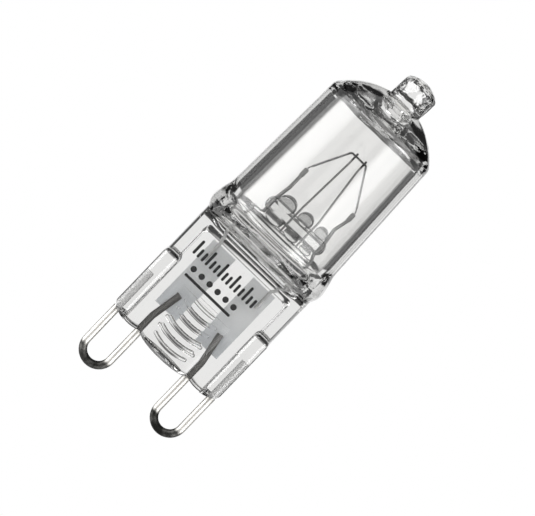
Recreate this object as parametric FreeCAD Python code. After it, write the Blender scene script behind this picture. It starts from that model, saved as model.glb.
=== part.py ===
import FreeCAD, Part
import math
import os

# Halogen capsule bulb with a pressed flat seal and two looped contact pins.
# Millimetres. The axis of the bulb is Z, with the tip up. X runs along the width of the flat seal
# and Y through its thickness. The origin is on the axis, level with the lowest glass of the seal.

# Contact loops
PIN_PITCH = 9.0  # between the centres of the two loops
LOOP_WIDTH = 2.92  # between the centre lines of the two legs of a loop
LOOP_WIRE = 0.7  # diameter
LOOP_DROP = 5.14  # from the lowest glass down to the lowest wire
OUTER_LEG_DEPTH = 5.2  # how far the outer leg reaches up into the glass
INNER_LEG_KNEE = 2.4  # height at which the inner leg turns towards the foil
INNER_LEG_TOP = 5.45  # height at which the inner leg ends on the foil
INNER_LEG_LEAN = 0.55  # how far the inner leg leans above its knee
KNEE_BEND = 2.0  # radius of the knee

# Seal foils
FOIL_WIDTH = 2.7
FOIL_THICK = 0.04
FOIL_BOTTOM = 3.55
FOIL_COVER = 0.35  # from the foil up to the level of the panel's top

# Flat seal
SEAL_WIDTH = 12.8
RAIL_THICK = 3.8  # over the rails at the two sides
WEB_THICK = 3.0  # over the sunk panel between the rails
PANEL_WIDTH = 10.2
PANEL_TOP = 11.65
PANEL_CORNER = 0.7
PANEL_DRAFT_TOP = 0.5  # how far the panel's upper wall leans out on its way to the face
PANEL_DRAFT_SIDE = 0.12  # the same for its side walls
PANEL_ROOT = 0.2  # rounding where the panel meets its walls
COLUMN_WIDTH = 1.7  # the thicker lower length of each rail
COLUMN_THICK = 4.6
COLUMN_TOP = 8.3
COLUMN_PROUD = 0.06  # how far a column stands out sideways past the rail above it
COLUMN_ROUND = 0.65
TONGUE_WIDTH = 5.8  # the crowned pad between the loops
TONGUE_THICK = 3.9
TONGUE_TOP = 6.5
RIB_WIDTH = 3.6
RIB_RADIUS = 0.2
RIB_SUNK = 0.06  # depth of a rib's centre line under the crown of the tongue
RIB_SAG = 0.3  # how far the middle of a rib hangs below its ends
RIB_BOTTOM = 1.36  # height of the lowest rib at its middle
RIB_PITCH = 1.0
RIB_COUNT = 5
LOBE_BOTTOM = 0.42  # lowest glass between the two legs of a loop
LOBE_EDGE_ROUND = 0.3  # rounding of its front and back edges
INNER_NOTCH = 0.64  # height of the glass edge at the inner legs
OUTER_NOTCH = 0.88  # height of the glass edge at the outer legs
SIDE_NOTCH = 1.5  # height at which the sides of the seal begin
BOW_RISE = 0.9  # how far the lower edge rounds up towards the faces of the columns
BOW_DEPTH = 0.05  # how far that rounding starts below the lowest glass

# Shoulder between the flat seal and the tube
SHOULDER_BAND = 1.25  # from the panel up to the knee between the flat face and the slope
SHOULDER_SLOPE = 22.0  # degrees above level
SHOULDER_KNEE = 0.9  # radius
SHOULDER_HIP = 1.1  # radius where the slope meets the tube
NOTCH_RISE = 0.4  # from the knee up to the notch where the side of the seal meets the foot
FOOT_RISE = 1.0  # from the notch up to the widest glass
FOOT_DIAMETER = 13.54

# Tube, dome and exhaust tip
FLARE_LENGTH = 2.5  # from the widest glass up to the straight wall of the tube
TUBE_DIAMETER = 12.62  # at its bottom
DOME_DIAMETER = 11.78  # of the tube where it would meet the dome
DOME_RADIUS = 7.2
DOME_RISE = 3.36  # from the edge of the hollow's ceiling up to the top of the dome
DOME_ROUND = 0.9
WALL = 1.12
TIP_DIAMETER = 3.6
TIP_HEIGHT = 2.54  # above the top of the dome
TIP_SHIFT = 0.24
TIP_TILT = 4.0  # degrees
TIP_CROWN_RADIUS = 2.7
TIP_ROUND = 0.5
TIP_ROOT = 1.0  # how deep the tip's round bar starts below the top of the dome

# Hollow
FLOOR_RISE = 0.5  # from the shoulder's knee up to the floor
FLOOR_BREADTH = 1.8  # along Y
FLOOR_ROUND = 0.8
HOLLOW_KNEE = 0.4  # radius where the floor meets the slope
HEADROOM = 3.3  # from the top of the filament up to the edge of the ceiling
CEILING_RADIUS = 8.4
CEILING_ROUND = 0.7
NECK_DIAMETER = 1.9
NECK_DROP = 0.46  # from the top of the dome down to the closed end of the neck
NECK_RING_DIAMETER = 3.4  # the wider end of the neck, where the exhaust tube was joined on
NECK_RING_HEIGHT = 1.0
NECK_ROUND = 0.35

# Inner wires
LEAD_WIRE = 0.3
LEAD_WELD_LENGTH = 1.9  # of a lead on its foil
LEAD_WELD_OUT = 0.7  # from the middle of the foil outwards to the lead
LEAD_STRAIGHT = 0.5  # of a lead past the end of its foil
LEFT_RISER_X = -3.5  # left lead where it stands up in the hollow
LEFT_CRANK_DROP = 0.575  # from the bar of the bead down to the left lead's crank
RIGHT_RISER_X = 4.0
RIGHT_BEND_DROP = 1.025  # from the bar of the bead down to the right lead's bend
LEAD_BEND = 0.4
LEAD_WAVE = 0.22  # sideways wave of the leads above the bead
LEAD_RISE = 3.6  # from the middle of the bead up to the crimp
CRIMP_HEIGHT = 0.85
CRIMP_WIDTH = 0.42
CRIMP_DEPTH = 0.36
CRIMP_ROUND = 0.1
SUPPORT_WIRE = 0.2
SUPPORT_TAIL = 0.9  # how far a support hangs out below the bar of the bead
HOOK_STEM = 0.9  # straight length of a support below its hook

# Bridge bead
LEFT_LEAD_X = -2.4  # where the four wires go through the bead
LEFT_SUPPORT_X = -0.05
RIGHT_SUPPORT_X = 1.95
RIGHT_LEAD_X = 3.65
BEAD_RISE = 3.95  # from the floor up to the middle of the bead
BAR_HEIGHT = 1.45
BAR_THICK = 1.3
BAR_OVERHANG = 0.5  # past the outer wires
BAR_ROUND = 0.62
LOBE_REACH = 3.5  # from the lower lobes' ends to the upper lobes' tops
LOBE_INSET = 0.2  # from a wire to the lobe beside it
LOBE_ROUND = 0.45

# Filament
COIL_DIAMETER = 0.24
TAIL_WIRE = 0.12
TAIL_DEPTH = 0.6  # how far a tail goes down into its crimp
TAIL_RISE = 0.2  # how far a tail stands straight up out of its crimp
TAIL_RUN = 0.35  # from the tail's bend to the first turn of the coil
PEAK_RISE = 3.9  # from the crimps up to the top of the filament
LEFT_PEAK_X = -0.3
RIGHT_PEAK_X = 1.5
PEAK_BEND = 0.3
LEFT_HOOK_X = 0.2
RIGHT_HOOK_X = 1.25

# Clearances
SEAL_GAP = 0.02  # between glass and the metal in it
WELD_GAP = 0.01  # between a wire and the foil it is welded to
HOOK_GAP = 0.03  # between a hook and the coil in it
MARGIN = 1.0  # how far a cutting shape reaches past what it cuts

# Sizes that follow
FOIL_TOP = PANEL_TOP - FOIL_COVER
LEAD_BOTTOM = FOIL_TOP - LEAD_WELD_LENGTH
LEAD_SEAL_TOP = FOIL_TOP + LEAD_STRAIGHT
SHOULDER_BOTTOM = PANEL_TOP + SHOULDER_BAND
FOOT_NOTCH = SHOULDER_BOTTOM + NOTCH_RISE
FOOT_HEIGHT = FOOT_NOTCH + FOOT_RISE
TUBE_BOTTOM = FOOT_HEIGHT + FLARE_LENGTH
FLOOR_HEIGHT = SHOULDER_BOTTOM + FLOOR_RISE
BEAD_HEIGHT = FLOOR_HEIGHT + BEAD_RISE
BAR_BOTTOM = BEAD_HEIGHT - BAR_HEIGHT / 2
BAR_TOP = BEAD_HEIGHT + BAR_HEIGHT / 2
LEAD_TOP = BEAD_HEIGHT + LEAD_RISE
CRIMP_TOP = LEAD_TOP + CRIMP_HEIGHT
PEAK_HEIGHT = CRIMP_TOP + PEAK_RISE
CEILING_EDGE = PEAK_HEIGHT + HEADROOM
DOME_TOP = CEILING_EDGE + DOME_RISE
TUBE_TOP = DOME_TOP - DOME_RADIUS + math.sqrt(DOME_RADIUS ** 2 - (DOME_DIAMETER / 2) ** 2)
NECK_TOP = DOME_TOP - NECK_DROP
TIP_TOP = DOME_TOP + TIP_HEIGHT
SIDES = {"left": -1, "right": 1}
FOIL_X = PIN_PITCH / 2 - LOOP_WIDTH / 2 - INNER_LEG_LEAN
FOIL_FACE_Y = LOOP_WIRE / 2 + WELD_GAP
MOUNT_Y = FOIL_FACE_Y - WELD_GAP - LEAD_WIRE / 2
HOOK_RADIUS = COIL_DIAMETER / 2 + HOOK_GAP + SUPPORT_WIRE / 2


def vec(x, y, z):
    return FreeCAD.Vector(x, y, z)


def side_view(x, z):
    return vec(x, 0, z)


def line(a, b):
    return Part.LineSegment(a, b).toShape()


def arc(a, b, c):
    return Part.Arc(a, b, c).toShape()


def revolved(edges):
    return Part.Face(Part.Wire(edges)).revolve(vec(0, 0, 0), vec(0, 0, 1), 360)


def slab(face, depth):
    """The face, which lies in the XZ plane, as a slab of this depth about that plane."""
    block = face.extrude(vec(0, depth, 0))
    block.translate(vec(0, -depth / 2, 0))
    return block


def bent_path(points, radii):
    """Straight runs joined by tangent arcs. radii has one radius for each inner point."""
    edges = []
    start = points[0]
    for before, corner, after, radius in zip(points, points[1:], points[2:], radii):
        to_before = (before - corner).normalize()
        to_after = (after - corner).normalize()
        half_turn = (math.pi - to_before.getAngle(to_after)) / 2
        reach = radius * math.tan(half_turn)
        inwards = (to_before + to_after).normalize()
        middle = corner + inwards * (radius / math.cos(half_turn) - radius)
        entry = corner + to_before * reach
        leave = corner + to_after * reach
        if (entry - start).Length > 1e-6:
            edges.append(line(start, entry))
        edges.append(arc(entry, middle, leave))
        start = leave
    edges.append(line(start, points[-1]))
    return Part.Wire(edges)


def swept(path, radius):
    """A round wire along the path: a cylinder on each straight run and part of a ring on each arc."""
    lengths = []
    for edge in path.OrderedEdges:
        begin = edge.valueAt(edge.FirstParameter)
        along = edge.tangentAt(edge.FirstParameter)
        if isinstance(edge.Curve, Part.Line):
            lengths.append(Part.makeCylinder(radius, edge.Length, begin, along))
        else:
            section = Part.Face(Part.Wire(Part.makeCircle(radius, begin, along)))
            axis = (begin - edge.Curve.Center).cross(along)
            turn = math.degrees(edge.Length / edge.Curve.Radius)
            lengths.append(section.revolve(edge.Curve.Center, axis, turn))
    if len(lengths) == 1:
        return lengths[0]
    return lengths[0].multiFuse(lengths[1:])


def bent_wire(points, radii, diameter, gap=0.0):
    """A bent wire, or with a gap the room that it needs in the glass."""
    ends = list(points)
    ends[0] = points[0] + (points[0] - points[1]).normalize() * gap
    ends[-1] = points[-1] + (points[-1] - points[-2]).normalize() * gap
    return swept(bent_path(ends, radii), diameter / 2 + gap)


def wall_and_dome(foot, top, dome_radius, dome_top, rounding, end_x):
    """Edges of half a section: a wall up to a dome about the axis, rounded where they meet.

    The dome ends at the distance end_x from the axis. Returns the edges and that end.
    """
    along = (top - foot).normalize()
    inwards = side_view(-along.z, along.x)
    dome_centre = side_view(0, dome_top - dome_radius)
    offset = foot + inwards * rounding - dome_centre
    reach = offset.dot(along)
    run = math.sqrt(reach ** 2 - offset.dot(offset) + (dome_radius - rounding) ** 2) - reach
    centre = foot + inwards * rounding + along * run
    leave_wall = centre - inwards * rounding
    outwards = (centre - dome_centre).normalize()
    join_dome = dome_centre + outwards * dome_radius
    middle = centre + (outwards - inwards).normalize() * rounding
    half_x = (join_dome.x + end_x) / 2
    half_way = dome_centre + side_view(half_x, math.sqrt(dome_radius ** 2 - half_x ** 2))
    end = dome_centre + side_view(end_x, math.sqrt(dome_radius ** 2 - end_x ** 2))
    edges = [line(foot, leave_wall), arc(leave_wall, middle, join_dome), arc(join_dome, half_way, end)]
    return edges, end


def blend(a, b, share):
    return a + (b - a) * share


def level_edges(solid, z):
    """The edges of a solid that lie level at this height."""
    return [e for e in solid.Edges if e.BoundBox.ZLength < 1e-6 and abs(e.BoundBox.ZMin - z) < 1e-6]


def end_rims(cylinder):
    """The two circles at the ends of a cylinder."""
    return [e for e in cylinder.Edges if e.isClosed()]


def between_slopes(half_low, knee_z, half_high, slope, knee, hip, bottom, top):
    """A block along X whose two faces stand upright, slope apart and stand upright again."""
    rise = (half_high - half_low) * math.tan(math.radians(slope))
    right = [
        vec(0, half_low, bottom),
        vec(0, half_low, knee_z),
        vec(0, half_high, knee_z + rise),
        vec(0, half_high, top),
    ]
    left = [vec(0, -p.y, p.z) for p in reversed(right)]
    edges = bent_path(right, [knee, hip]).Edges + [line(right[-1], left[0])]
    edges += bent_path(left, [hip, knee]).Edges + [line(left[-1], right[0])]
    length = SEAL_WIDTH + 4 * MARGIN
    block = Part.Face(Part.Wire(edges)).extrude(vec(length, 0, 0))
    block.translate(vec(-length / 2, 0, 0))
    return block


# Metal pieces
def loop_points(side):
    outer = side * (PIN_PITCH + LOOP_WIDTH) / 2
    inner = side * (PIN_PITCH - LOOP_WIDTH) / 2
    low = -LOOP_DROP + LOOP_WIRE / 2
    return [
        side_view(outer, OUTER_LEG_DEPTH),
        side_view(outer, low),
        side_view(inner, low),
        side_view(inner, INNER_LEG_KNEE),
        side_view(inner - side * INNER_LEG_LEAN, INNER_LEG_TOP),
    ]


def contact_loop(side, gap=0.0):
    bend = LOOP_WIDTH / 2
    return bent_wire(loop_points(side), [bend, bend, KNEE_BEND], LOOP_WIRE, gap)


def seal_foil(side, gap=0.0):
    sheet = Part.makeBox(
        FOIL_WIDTH + 2 * gap,
        FOIL_THICK + 2 * gap,
        FOIL_TOP - FOIL_BOTTOM + 2 * gap,
    )
    left = side * FOIL_X - FOIL_WIDTH / 2
    sheet.translate(vec(left - gap, FOIL_FACE_Y - gap, FOIL_BOTTOM - gap))
    return sheet


def lead_points(side):
    weld = side * (FOIL_X + LEAD_WELD_OUT)
    wave_height = (BAR_TOP + LEAD_TOP) / 2
    if side < 0:
        bead_x = LEFT_LEAD_X
        crank_z = BAR_BOTTOM - LEFT_CRANK_DROP
        riser = [(LEFT_RISER_X, crank_z), (bead_x, crank_z)]
        foot = (LEFT_RISER_X, FLOOR_HEIGHT)
    else:
        bead_x = RIGHT_LEAD_X
        riser = [(RIGHT_RISER_X, BAR_BOTTOM - RIGHT_BEND_DROP), (bead_x, BAR_BOTTOM)]
        foot = (RIGHT_RISER_X, FLOOR_HEIGHT)
    wave_x = bead_x - side * LEAD_WAVE
    above = [(bead_x, BAR_TOP), (wave_x, wave_height), (crimp_x(side), LEAD_TOP)]
    places = [(weld, LEAD_BOTTOM), (weld, LEAD_SEAL_TOP), foot] + riser + above
    return [vec(x, MOUNT_Y, z) for x, z in places]


def crimp_x(side):
    """Middle of the crimp that holds the tail of the filament."""
    return LEFT_LEAD_X + LEAD_WAVE if side < 0 else RIGHT_LEAD_X + LEAD_WAVE / 2


def crimp(side):
    block = Part.makeBox(CRIMP_WIDTH, CRIMP_DEPTH, CRIMP_HEIGHT)
    block = block.makeFillet(CRIMP_ROUND, block.Edges)
    block.translate(vec(crimp_x(side) - CRIMP_WIDTH / 2, MOUNT_Y - CRIMP_DEPTH / 2, LEAD_TOP))
    bore = Part.makeCylinder(
        TAIL_WIRE / 2 + WELD_GAP,
        TAIL_DEPTH + WELD_GAP + MARGIN,
        vec(crimp_x(side), MOUNT_Y, CRIMP_TOP - TAIL_DEPTH - WELD_GAP),
    )
    return block, bore


def lead_room(side, gap):
    points = lead_points(side)
    return bent_wire(points, [LEAD_BEND] * (len(points) - 2), LEAD_WIRE, gap)


def lead_wire(side):
    block, bore = crimp(side)
    return lead_room(side, 0.0).fuse(block).cut(bore)


def support_points(side):
    bead_x = LEFT_SUPPORT_X if side < 0 else RIGHT_SUPPORT_X
    hook_x = LEFT_HOOK_X if side < 0 else RIGHT_HOOK_X
    behind = MOUNT_Y - HOOK_RADIUS
    return [
        vec(bead_x, behind, BAR_BOTTOM - SUPPORT_TAIL),
        vec(bead_x, behind, BEAD_HEIGHT + LOBE_REACH / 2),
        vec(hook_x, behind, PEAK_HEIGHT - HOOK_STEM),
        vec(hook_x, behind, PEAK_HEIGHT),
    ]


def support_wire(side, gap=0.0):
    """A stem with a hook of three quarters of a turn, over and in front of the coil."""
    stem = bent_wire(support_points(side), [LEAD_BEND, LEAD_BEND], SUPPORT_WIRE, gap)
    top = support_points(side)[-1]
    middle = top + vec(0, HOOK_RADIUS, 0)
    diagonal = HOOK_RADIUS * math.sqrt(0.5)
    bend = Part.Wire(arc(top, middle + vec(0, diagonal, diagonal), middle - vec(0, 0, HOOK_RADIUS)))
    return stem.fuse(swept(bend, SUPPORT_WIRE / 2 + gap)).removeSplitter()


def filament():
    tails = {}
    for name, side in SIDES.items():
        foot = vec(crimp_x(side), MOUNT_Y, CRIMP_TOP - TAIL_DEPTH)
        tails[name] = (foot, vec(crimp_x(side), MOUNT_Y, CRIMP_TOP + TAIL_RISE))
    peaks = [vec(LEFT_PEAK_X, MOUNT_Y, PEAK_HEIGHT), vec(RIGHT_PEAK_X, MOUNT_Y, PEAK_HEIGHT)]
    coil_ends = []
    solids = []
    for (foot, bend), peak in zip(tails.values(), peaks):
        end = bend + (peak - bend).normalize() * TAIL_RUN
        coil_ends.append(end)
        solids.append(bent_wire([foot, bend, end + (peak - bend).normalize() * TAIL_WIRE],
                                [TAIL_WIRE], TAIL_WIRE))
    coil = bent_wire([coil_ends[0]] + peaks + [coil_ends[1]], [PEAK_BEND] * 2, COIL_DIAMETER)
    return coil.multiFuse(solids)


# Bridge bead
def bridge_bead():
    left = LEFT_LEAD_X - BAR_OVERHANG
    length = RIGHT_LEAD_X + BAR_OVERHANG - left
    bead = Part.makeBox(length, BAR_THICK, BAR_HEIGHT)
    bead = bead.makeFillet(BAR_ROUND, bead.Edges)
    bead.translate(vec(left, MOUNT_Y - BAR_THICK / 2, BAR_BOTTOM))
    wires_x = [LEFT_LEAD_X, LEFT_SUPPORT_X, RIGHT_SUPPORT_X, RIGHT_LEAD_X]
    for near, far in zip(wires_x, wires_x[1:]):
        radius = (far - near) / 2 - LOBE_INSET
        for upright in (-1, 1):
            middle_z = BEAD_HEIGHT + upright * (LOBE_REACH / 2 - radius)
            front = vec((near + far) / 2, MOUNT_Y - BAR_THICK / 2, middle_z)
            lobe = Part.makeCylinder(radius, BAR_THICK, front, vec(0, 1, 0))
            bead = bead.fuse(lobe.makeFillet(LOBE_ROUND, end_rims(lobe)))
    for side in SIDES.values():
        bead = bead.cut(lead_room(side, SEAL_GAP))
        bead = bead.cut(support_wire(side, SEAL_GAP))
    return bead


# Glass envelope
def pressed_tube():
    """The round glass from seal to dome, pressed flat at its lower end."""
    seal = SEAL_WIDTH / 2
    foot = side_view(FOOT_DIAMETER / 2, FOOT_HEIGHT)
    notch = side_view(seal, FOOT_NOTCH)
    rise = FOOT_HEIGHT - FOOT_NOTCH
    step = foot.x - seal
    radius = (rise ** 2 + step ** 2) / (2 * step)
    bulge_z = FOOT_HEIGHT - rise / 2
    bulge = side_view(foot.x - radius + math.sqrt(radius ** 2 - (rise / 2) ** 2), bulge_z)
    tube_foot = side_view(TUBE_DIAMETER / 2, TUBE_BOTTOM)
    tube_top = side_view(DOME_DIAMETER / 2, TUBE_TOP)
    flare = Part.BSplineCurve()
    flare.interpolate(
        Points=[foot, tube_foot],
        InitialTangent=side_view(0, TUBE_BOTTOM - FOOT_HEIGHT),
        FinalTangent=tube_direction() * (TUBE_BOTTOM - FOOT_HEIGHT),
    )
    wall, top = wall_and_dome(tube_foot, tube_top, DOME_RADIUS, DOME_TOP, DOME_ROUND, 0.0)
    solid = revolved([
        line(side_view(0, -MARGIN), side_view(seal, -MARGIN)),
        line(side_view(seal, -MARGIN), notch),
        arc(notch, bulge, foot),
        flare.toShape(),
        *wall,
        line(top, side_view(0, -MARGIN)),
    ])
    return solid.common(between_slopes(
        RAIL_THICK / 2, SHOULDER_BOTTOM, FOOT_DIAMETER / 2, SHOULDER_SLOPE,
        SHOULDER_KNEE, SHOULDER_HIP, -2 * MARGIN, DOME_TOP + MARGIN,
    ))


def tube_direction():
    low = side_view(TUBE_DIAMETER / 2, TUBE_BOTTOM)
    return (side_view(DOME_DIAMETER / 2, TUBE_TOP) - low).normalize()


def seal_outline():
    """Front outline of the lower end of the seal: three lobes that the legs part."""
    half = SEAL_WIDTH / 2 + COLUMN_PROUD
    outer_leg = (PIN_PITCH + LOOP_WIDTH) / 2
    inner_leg = (PIN_PITCH - LOOP_WIDTH) / 2
    corner = ((half + outer_leg) / 2, blend(OUTER_NOTCH, SIDE_NOTCH, 0.3))
    right = [
        ((0, 0), (inner_leg / 2, INNER_NOTCH / 4), (inner_leg, INNER_NOTCH)),
        ((inner_leg, INNER_NOTCH), (PIN_PITCH / 2, LOBE_BOTTOM), (outer_leg, OUTER_NOTCH)),
        ((outer_leg, OUTER_NOTCH), corner, (half, SIDE_NOTCH)),
    ]
    top = SIDE_NOTCH + MARGIN
    edges = []
    for mirror in (1, -1):
        for points in right:
            edges.append(arc(*[side_view(mirror * x, z) for x, z in points]))
        edges.append(line(side_view(mirror * half, SIDE_NOTCH), side_view(mirror * half, top)))
    edges.append(line(side_view(-half, top), side_view(half, top)))
    return slab(Part.Face(Part.Wire(Part.sortEdges(edges)[0])), COLUMN_THICK + 2 * MARGIN)


def seal_bow():
    """Side outline of the lower end of the seal: an edge that is rounded like a bow."""
    half = COLUMN_THICK / 2
    top = SIDE_NOTCH + MARGIN
    edges = [
        arc(vec(0, -half, BOW_RISE), vec(0, 0, -BOW_DEPTH), vec(0, half, BOW_RISE)),
        line(vec(0, half, BOW_RISE), vec(0, half, top)),
        line(vec(0, half, top), vec(0, -half, top)),
        line(vec(0, -half, top), vec(0, -half, BOW_RISE)),
    ]
    length = SEAL_WIDTH + 2 * MARGIN
    block = Part.Face(Part.Wire(edges)).extrude(vec(length, 0, 0))
    block.translate(vec(-length / 2, 0, 0))
    return block


def lower_edge_cut():
    """All that is cut away from the lower end of the seal."""
    half_x = SEAL_WIDTH / 2 + MARGIN
    half_y = COLUMN_THICK / 2 + MARGIN
    block = Part.makeBox(2 * half_x, 2 * half_y, SIDE_NOTCH + 2 * MARGIN)
    block.translate(vec(-half_x, -half_y, -2 * MARGIN))
    return block.cut(seal_outline().common(seal_bow()))


def lobe_edge_cut(side):
    """All that is cut away to round the lower edges of the panel between the tongue and a column."""
    outer_leg = (PIN_PITCH + LOOP_WIDTH) / 2
    inner_leg = (PIN_PITCH - LOOP_WIDTH) / 2
    near = TONGUE_WIDTH / 2
    far = SEAL_WIDTH / 2 + COLUMN_PROUD - COLUMN_WIDTH
    lobe = Part.Circle(
        side_view(inner_leg, INNER_NOTCH),
        side_view(PIN_PITCH / 2, LOBE_BOTTOM),
        side_view(outer_leg, OUTER_NOTCH),
    )
    centre, radius = lobe.Center, lobe.Radius
    top = SIDE_NOTCH + 2 * MARGIN

    def on_lobe(x):
        return side_view(x, centre.z - math.sqrt(radius ** 2 - (x - centre.x) ** 2))

    left, right = near - MARGIN / 2, far + MARGIN / 2
    edges = [
        arc(on_lobe(left), on_lobe((left + right) / 2), on_lobe(right)),
        line(on_lobe(right), side_view(right, top)),
        line(side_view(right, top), side_view(left, top)),
        line(side_view(left, top), on_lobe(left)),
    ]
    plate = slab(Part.Face(Part.Wire(edges)), WEB_THICK)
    rims = [e for e in plate.Edges if isinstance(e.Curve, Part.Circle)]
    plate = plate.makeFillet(LOBE_EDGE_ROUND, rims)
    tool = Part.makeBox(far - near, RAIL_THICK, SIDE_NOTCH + MARGIN)
    tool.translate(vec(near, -RAIL_THICK / 2, -MARGIN))
    tool = tool.cut(plate)
    if side < 0:
        tool = tool.mirror(vec(0, 0, 0), vec(1, 0, 0))
    return tool


def panel_outline(y, share):
    """Outline of the panel's pocket at one depth, with its walls leaning out by this share of the draft."""
    half = PANEL_WIDTH / 2 + PANEL_DRAFT_SIDE * share
    top = PANEL_TOP + PANEL_DRAFT_TOP * share
    bottom = -2 * MARGIN
    corner = PANEL_CORNER * (1 - math.sqrt(0.5))
    points = [vec(half, y, bottom), vec(half, y, top - PANEL_CORNER), vec(half - PANEL_CORNER, y, top)]
    left = [vec(-p.x, p.y, p.z) for p in reversed(points)]
    return Part.Wire([
        line(points[0], points[1]),
        arc(points[1], vec(half - corner, y, top - corner), points[2]),
        line(points[2], left[0]),
        arc(left[0], vec(corner - half, y, top - corner), left[1]),
        line(left[1], left[2]),
        line(left[2], points[0]),
    ])


def panel_cut(face_side):
    """The shape that sinks the panel into one face of the seal, with leaning walls."""
    depth = (RAIL_THICK - WEB_THICK) / 2
    floor_y = WEB_THICK / 2
    outlines = [panel_outline(floor_y, 0.0), panel_outline(floor_y + depth + MARGIN, 1.0 + MARGIN / depth)]
    tool = Part.makeLoft(outlines, True, True)
    floor = [e for e in tool.Edges if e.BoundBox.YMax < floor_y + 1e-3 and e.BoundBox.ZMax > 0]
    tool = tool.makeFillet(min(PANEL_ROOT, depth * 0.9), floor)
    if face_side < 0:
        tool = tool.mirror(vec(0, 0, 0), vec(0, 1, 0))
    return tool


def column(side):
    block = Part.makeBox(COLUMN_WIDTH, COLUMN_THICK, COLUMN_TOP + MARGIN)
    block = block.makeFillet(COLUMN_ROUND, block.Edges)
    outer = SEAL_WIDTH / 2 + COLUMN_PROUD
    left = outer - COLUMN_WIDTH if side > 0 else -outer
    block.translate(vec(left, -COLUMN_THICK / 2, -MARGIN))
    return block


def tongue_face_y(x):
    """How far the crowned face of the tongue stands from the middle plane."""
    rise = (TONGUE_THICK - WEB_THICK) / 2
    radius = ((TONGUE_WIDTH / 2) ** 2 + rise ** 2) / (2 * rise)
    return math.sqrt(radius ** 2 - x ** 2) - radius + TONGUE_THICK / 2


def tongue():
    half = TONGUE_WIDTH / 2
    edge = WEB_THICK / 2
    crown = TONGUE_THICK / 2
    edges = [
        arc(vec(-half, edge, 0), vec(0, crown, 0), vec(half, edge, 0)),
        line(vec(half, edge, 0), vec(half, -edge, 0)),
        arc(vec(half, -edge, 0), vec(0, -crown, 0), vec(-half, -edge, 0)),
        line(vec(-half, -edge, 0), vec(-half, edge, 0)),
    ]
    block = Part.Face(Part.Wire(edges)).extrude(vec(0, 0, TONGUE_TOP + MARGIN))
    block.translate(vec(0, 0, -MARGIN))
    return block


def rib(height, face_side):
    """A half-round bead across the crown of the tongue, hanging in a bow."""
    half = RIB_WIDTH / 2
    end_y = tongue_face_y(half) - RIB_SUNK
    middle = vec(0, face_side * (TONGUE_THICK / 2 - RIB_SUNK), height)
    ends = [vec(x, face_side * end_y, height + RIB_SAG) for x in (-half, half)]
    bead = swept(Part.Wire(arc(ends[0], middle, ends[1])), RIB_RADIUS)
    return bead.multiFuse([Part.makeSphere(RIB_RADIUS, end) for end in ends])


def ribs():
    solids = []
    for step in range(RIB_COUNT):
        solids.append(rib(RIB_BOTTOM + step * RIB_PITCH, -1))
        solids.append(rib(RIB_BOTTOM + (step + 0.5) * RIB_PITCH, 1))
    return solids


def exhaust_tip():
    """The melted end of the exhaust tube, a little off the axis and leaning."""
    radius = TIP_DIAMETER / 2
    bottom = side_view(0, DOME_TOP - TIP_ROOT)
    foot = bottom + side_view(radius, 0)
    wall, top = wall_and_dome(foot, side_view(radius, TIP_TOP), TIP_CROWN_RADIUS, TIP_TOP, TIP_ROUND, 0.0)
    solid = revolved([line(bottom, foot), *wall, line(top, bottom)])
    solid.rotate(vec(0, 0, DOME_TOP), vec(0, 1, 0), TIP_TILT)
    solid.translate(vec(TIP_SHIFT, 0, 0))
    return solid


def hollow():
    """The gas space, with a floor that follows the pressed shoulder and a neck into the tip."""
    ceiling_top = CEILING_EDGE + CEILING_RADIUS - math.sqrt(
        CEILING_RADIUS ** 2 - hollow_radius(CEILING_EDGE) ** 2)
    floor = side_view(hollow_radius(FLOOR_HEIGHT), FLOOR_HEIGHT)
    edge = side_view(hollow_radius(CEILING_EDGE), CEILING_EDGE)
    neck = NECK_DIAMETER / 2
    ring = NECK_RING_DIAMETER / 2
    ring_bottom = NECK_TOP - NECK_RING_HEIGHT
    wall, mouth = wall_and_dome(floor, edge, CEILING_RADIUS, ceiling_top, CEILING_ROUND, neck)
    solid = revolved([
        line(side_view(0, FLOOR_HEIGHT), floor),
        *wall,
        line(mouth, side_view(neck, ring_bottom)),
        line(side_view(neck, ring_bottom), side_view(ring, ring_bottom)),
        line(side_view(ring, ring_bottom), side_view(ring, NECK_TOP)),
        line(side_view(ring, NECK_TOP), side_view(0, NECK_TOP)),
        line(side_view(0, NECK_TOP), side_view(0, FLOOR_HEIGHT)),
    ])
    ring_edges = level_edges(solid, NECK_TOP) + level_edges(solid, ring_bottom)
    solid = solid.makeFillet(NECK_ROUND, ring_edges)
    solid = solid.makeFillet(FLOOR_ROUND, level_edges(solid, FLOOR_HEIGHT))
    knee_z = SHOULDER_BOTTOM + slope_room()
    return solid.common(between_slopes(
        FLOOR_BREADTH / 2, knee_z, TUBE_DIAMETER / 2, SHOULDER_SLOPE,
        HOLLOW_KNEE, SHOULDER_HIP, FLOOR_HEIGHT - MARGIN, NECK_TOP + MARGIN,
    ))


def slope_room():
    """Height from the outer knee to the inner one, for a wall of even thickness on the slope."""
    slope = math.radians(SHOULDER_SLOPE)
    return WALL / math.cos(slope) - (RAIL_THICK - FLOOR_BREADTH) / 2 * math.tan(slope)


def hollow_radius(z):
    direction = tube_direction()
    return TUBE_DIAMETER / 2 + (z - TUBE_BOTTOM) * direction.x / direction.z - WALL


def press_seal(glass):
    """Sinks the panels, adds the columns and the tongue, and trims the lower edge."""
    for face_side in (-1, 1):
        glass = glass.cut(panel_cut(face_side))
    glass = glass.multiFuse([column(side) for side in SIDES.values()] + [tongue()])
    glass = glass.cut(lower_edge_cut())
    for side in SIDES.values():
        glass = glass.cut(lobe_edge_cut(side))
    return glass


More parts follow.
